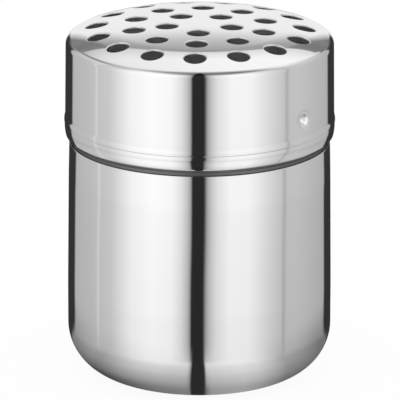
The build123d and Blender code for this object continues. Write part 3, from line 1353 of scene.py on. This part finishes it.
@dataclass(frozen=True)
class Ceiling:
    """Overhead soft box with its dark frame and the camera's rig.

    A direction meets a ceiling one unit up at (across / up, away / up), seen from the camera. All
    places are given there, and a pair of them is where something starts and ends to change.
    """

    box: float = 0.965  # tone of the soft box
    box_left: tuple[Point, ...] = (  # from its left edge: place, and how much of its light
        (-0.78, 0.40),
        (-0.60, 0.68),
        (-0.40, 0.84),
        (0.00, 0.96),
        (0.20, 1.0),
    )
    box_right: Point = (0.35, 1.35)  # it gives way to the wall
    box_back: float = 1.7  # its far edge
    box_fade: tuple[float, float, float] = (1.1, 1.65, 0.76)  # it dims towards that edge, to this
    box_front: Point = (-0.15, 0.15)  # its near edge fades in
    frame: float = 0.40  # what is left of the light beside the box
    frame_left: Point = (-1.0, -1.42)  # the frame fades out
    frame_right: Point = (1.0, 2.0)
    frame_back: Point = (1.85, 3.35)
    frame_front: Point = (0.6, -0.2)
    rig: Point = (0.10, -0.25)  # middle of the dark rig
    rig_reach: tuple[float, float, float] = (0.17, 0.96, 0.24)  # inner, outer, what is left
    least_up: float = 0.001  # a flatter direction meets the ceiling as if it rose by this

    def frame_light(
        self,
        bench: Bench,
        wall: bpy.types.NodeSocket,
        across: bpy.types.NodeSocket,
        away: bpy.types.NodeSocket,
    ) -> bpy.types.NodeSocket:
        """The walls behind the frame, which is darkest beside the soft box.

        Args:
            bench: the world's bench.
            wall: brightness of the walls.
            across: place in the ceiling, towards the camera's right.
            away: place in the ceiling, away from the camera.

        Returns:
            The brightness.
        """
        sides = ((across, self.frame_left), (across, self.frame_right), (away, self.frame_back))
        past = bench.length([bench.scaled(place, ends, (0, 1)) for place, ends in sides])
        eased = bench.scaled(past, (0, 1), (0, 1), ease=True)
        dark = bench.scaled(away, self.frame_front, (self.frame, 1))
        return bench.math("MULTIPLY", wall, bench.mix(dark, 1.0, eased))

    def box_light(
        self,
        bench: Bench,
        wall: bpy.types.NodeSocket,
        across: bpy.types.NodeSocket,
        away: bpy.types.NodeSocket,
    ) -> bpy.types.NodeSocket:
        """The soft box, dimmer at its left and at the back, which joins the wall at its right.

        Args:
            bench: the world's bench.
            wall: brightness of the walls.
            across: place in the ceiling, towards the camera's right.
            away: place in the ceiling, away from the camera.

        Returns:
            The brightness.
        """
        edge, full = self.box_left[0][0], self.box_left[-1][0]
        stops = [((place - edge) / (full - edge), level) for place, level in self.box_left]
        box = bench.ramp(bench.scaled(across, (edge, full), (0, 1)), stops)
        start, end, dim = self.box_fade
        box = bench.math("MULTIPLY", box, bench.scaled(away, (start, end), (1, dim)))
        box = bench.math("MULTIPLY", box, light_of(self.box))
        return bench.mix(box, wall, bench.scaled(across, self.box_right, (0, 1), ease=True))

    def light(
        self, bench: Bench, wall: bpy.types.NodeSocket, ways: list[bpy.types.NodeSocket]
    ) -> bpy.types.NodeSocket:
        """Puts the soft box, its frame and the rig in front of the walls.

        Args:
            bench: the world's bench.
            wall: brightness of the walls.
            ways: across, away and up of the direction.

        Returns:
            Brightness of all that surrounds the shaker.
        """
        up = bench.math("MAXIMUM", ways[2], self.least_up)
        places = [bench.math("DIVIDE", way, up) for way in ways[:2]]
        framed = self.frame_light(bench, wall, *places)
        box = self.box_light(bench, wall, *places)
        sideways = bench.math("GREATER_THAN", places[0], self.box_left[0][0])
        backwards = bench.math("LESS_THAN", places[1], self.box_back)
        within = bench.math("MULTIPLY", sideways, backwards)
        front = bench.scaled(places[1], self.box_front, (0, 1), ease=True)
        lit = bench.mix(framed, box, bench.math("MULTIPLY", within, front))
        rig = bench.length([bench.math("SUBTRACT", w, c) for w, c in zip(places, self.rig)])
        inner, outer, left = self.rig_reach
        return bench.math("MULTIPLY", lit, bench.scaled(rig, (inner, outer), (left, 1), ease=True))


@dataclass(frozen=True)
class Tabletop:
    """The table round the foot, which only reflections see.

    Its tone goes by azimuth round the shaker, in degrees from the camera towards its right, and by
    distance from the axis, in mm. Near the foot its glow is darkened as a painted contact shadow.
    """

    outer: tuple[Point, ...] = (  # away from the foot
        (-180.0, 0.62),
        (-152.0, 0.62),
        (-146.0, 0.18),
        (-116.0, 0.18),
        (-110.0, 0.52),
        (-95.0, 0.57),
        (-75.0, 0.65),
        (-65.0, 0.66),
        (-55.0, 0.74),
        (-45.0, 0.825),
        (-35.0, 0.875),
        (-25.0, 0.89),
        (-9.5, 0.86),
        (-5.9, 0.84),
        (-5.0, 0.16),
        (2.9, 0.16),
        (3.8, 0.85),
        (15.0, 0.89),
        (25.0, 0.915),
        (35.0, 0.885),
        (45.0, 0.79),
        (55.0, 0.665),
        (75.0, 0.58),
        (95.0, 0.46),
        (108.0, 0.46),
        (114.0, 0.18),
        (146.0, 0.18),
        (152.0, 0.62),
        (180.0, 0.62),
    )
    inner: tuple[Point, ...] = (  # under the foot: darker, a painted contact shadow
        (-180.0, 0.30),
        (-75.0, 0.21),
        (-55.0, 0.27),
        (-40.0, 0.35),
        (-25.0, 0.43),
        (-10.0, 0.47),
        (-5.6, 0.46),
        (-4.8, 0.16),
        (2.7, 0.16),
        (4.2, 0.42),
        (6.5, 0.56),
        (15.0, 0.59),
        (25.0, 0.61),
        (35.0, 0.57),
        (55.0, 0.41),
        (75.0, 0.37),
        (180.0, 0.36),
    )
    rise: tuple[Point, ...] = (  # distance, and how far on the way from inner to outer: the painted contact shadow fades out
        (27.0, 0.0),
        (30.0, 0.07),
        (34.0, 0.33),
        (42.0, 0.66),
        (60.0, 1.0),
    )
    fade: Point = (48.0, 90.0)  # distances over which it gives way to the walls
    drop: float = 0.1  # mm below the canister

    def build(self) -> None:
        """Lays the table down."""
        top, bench = ground_disc("tabletop_painted_contact_shadow", self.fade[1] * MM)
        top.data.transform(Matrix.Translation((0, 0, -self.drop * MM)))
        top.visible_camera = top.visible_diffuse = top.visible_shadow = False
        top.visible_transmission = top.visible_volume_scatter = False
        place = bench.add("ShaderNodeTexCoord").outputs["Object"]
        across, away, azimuth = bench.turned_back(place, CAMERA_AZIMUTH)
        out = bench.length([across, away])
        inner, outer = (by_azimuth(bench, azimuth, s) for s in (self.inner, self.outer))
        last = self.rise[-1][0]
        reach = bench.scaled(out, (0, last * MM), (0, 1))
        rise = bench.ramp(reach, [(distance / last, share) for distance, share in self.rise])
        # painted contact shadow: the glow darkens from outer to inner towards the foot
        light = bench.mix(inner, outer, rise)
        glow = bench.add("ShaderNodeEmission", {"Strength": light}).outputs[0]
        clear = bench.add("ShaderNodeBsdfTransparent").outputs[0]
        fade = (self.fade[0] * MM, self.fade[1] * MM)
        gone = bench.scaled(out, fade, (0, 1), ease=True)
        mixed = bench.add("ShaderNodeMixShader", {0: gone, 1: glow, 2: clear})
        bench.add("ShaderNodeOutputMaterial", {"Surface": mixed.outputs[0]})


@dataclass(frozen=True)
class Floor:
    """A round white floor that keeps a soft shadow and stays out of the reflections.

    A small share of it is lit as white paint is. The rest glows for the camera, just enough to
    bring a floor without a shadow to plain white.
    """

    radius: float = 4.0  # metres
    share: float = 0.07  # part of its brightness that a shadow can take away
    tone: float = 0.9

    def build(self) -> None:
        """Lays the floor down."""
        floor, bench = ground_disc("studio_floor", self.radius)
        floor.visible_glossy = False
        paint = {"Color": (self.tone, self.tone, self.tone, 1)}
        soft = bench.add("ShaderNodeBsdfDiffuse", paint).outputs[0]
        camera_ray = bench.add("ShaderNodeLightPath").outputs["Is Camera Ray"]
        glow_level = (1 - self.share * self.tone) / (1 - self.share)
        level = bench.math("MULTIPLY", camera_ray, glow_level)
        glow = bench.add("ShaderNodeEmission", {"Strength": level}).outputs[0]
        mixed = bench.add("ShaderNodeMixShader", {0: 1 - self.share, 1: soft, 2: glow})
        bench.add("ShaderNodeOutputMaterial", {"Surface": mixed.outputs[0]})


@dataclass(frozen=True)
class Studio:
    """White surroundings with the cards that polished steel shows, a floor and a tabletop."""

    walls: Walls = Walls()
    ceiling: Ceiling = Ceiling()
    floor: Floor = Floor()
    tabletop: Tabletop = Tabletop()

    def world(self) -> None:
        """Builds the world: what is seen depends only on the direction in which a ray leaves.

        The camera and soft light find plain white, and reflections find the walls and the ceiling.
        """
        world = bpy.data.worlds.new("studio")
        bpy.context.scene.world = world
        world.use_nodes = True
        bench = Bench(world.node_tree)
        way = bench.add("ShaderNodeTexCoord").outputs["Generated"]
        across, away, azimuth = bench.turned_back(way, CAMERA_AZIMUTH)
        up = bench.add("ShaderNodeSeparateXYZ", {0: way}).outputs[2]
        wall = self.walls.light(bench, azimuth, bench.math("ARCSINE", up))
        seen = self.ceiling.light(bench, wall, [across, away, up])
        path = bench.add("ShaderNodeLightPath").outputs
        plain = bench.math("MAXIMUM", path["Is Camera Ray"], path["Is Diffuse Ray"])
        light = {"Color": (1, 1, 1, 1), "Strength": bench.mix(seen, 1.0, plain)}
        background = bench.add("ShaderNodeBackground", light)
        bench.add("ShaderNodeOutputWorld", {"Surface": background.outputs[0]})

    def build(self) -> None:
        """Sets up the world, the floor and the tabletop."""
        self.world()
        self.floor.build()
        self.tabletop.build()


@dataclass(frozen=True)
class Viewpoint:
    """Where the camera stands and how it is held."""

    azimuth: float = CAMERA_AZIMUTH
    elevation: float = 0.270109  # of the camera above the point it stands round, in radians
    distance: float = 1495.35  # mm from that point
    centre_height: float = 91.0  # mm
    tilt: float = 0.29892  # radians below level
    swing: float = 8.9e-5  # radians to the right of the axis
    roll: float = 2.0e-3  # radians, anticlockwise
    lens: float = 517.71  # mm
    sensor: float = 36.0  # mm
    clip: Point = (0.05, 50.0)  # metres

    def place(self) -> None:
        """Makes the camera and sets it as the scene's own."""
        data = bpy.data.cameras.new("product_camera")
        data.sensor_width = self.sensor
        data.lens = self.lens
        data.clip_start, data.clip_end = self.clip
        camera = bpy.data.objects.new("product_camera", data)
        bpy.context.scene.collection.objects.link(camera)
        bpy.context.scene.camera = camera
        flat, aim = self.distance * math.cos(self.elevation), self.azimuth - self.swing
        place = Vector((
            flat * math.sin(self.azimuth),
            -flat * math.cos(self.azimuth),
            self.centre_height + self.distance * math.sin(self.elevation),
        ))
        right = Vector((math.cos(aim), math.sin(aim), 0))
        level = Vector((-math.sin(aim), math.cos(aim), 0))
        ahead = level * math.cos(self.tilt) - Vector((0, 0, math.sin(self.tilt)))
        up = right.cross(ahead)
        turn = Matrix((right, up, -ahead)).transposed() @ Matrix.Rotation(self.roll, 3, "Z")
        camera.matrix_world = Matrix.Translation(place * MM) @ turn.to_4x4()


def main() -> None:
    """Dresses the frame, lights it and places the camera."""
    logging.basicConfig(level=logging.INFO, format="%(name)s: %(message)s")
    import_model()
    steels = [FINISHES[skin].material() for skin in Skin]
    for piece in (Canister(), RimHoop(), Cap()):
        shown = piece.dress(steels)
        LOG.info("%s: %d triangles", shown.name, len(shown.data.polygons))
    Studio().build()
    Viewpoint().place()
    bpy.context.scene.view_settings.view_transform = "Standard"


if __name__ == "__main__":
    main()
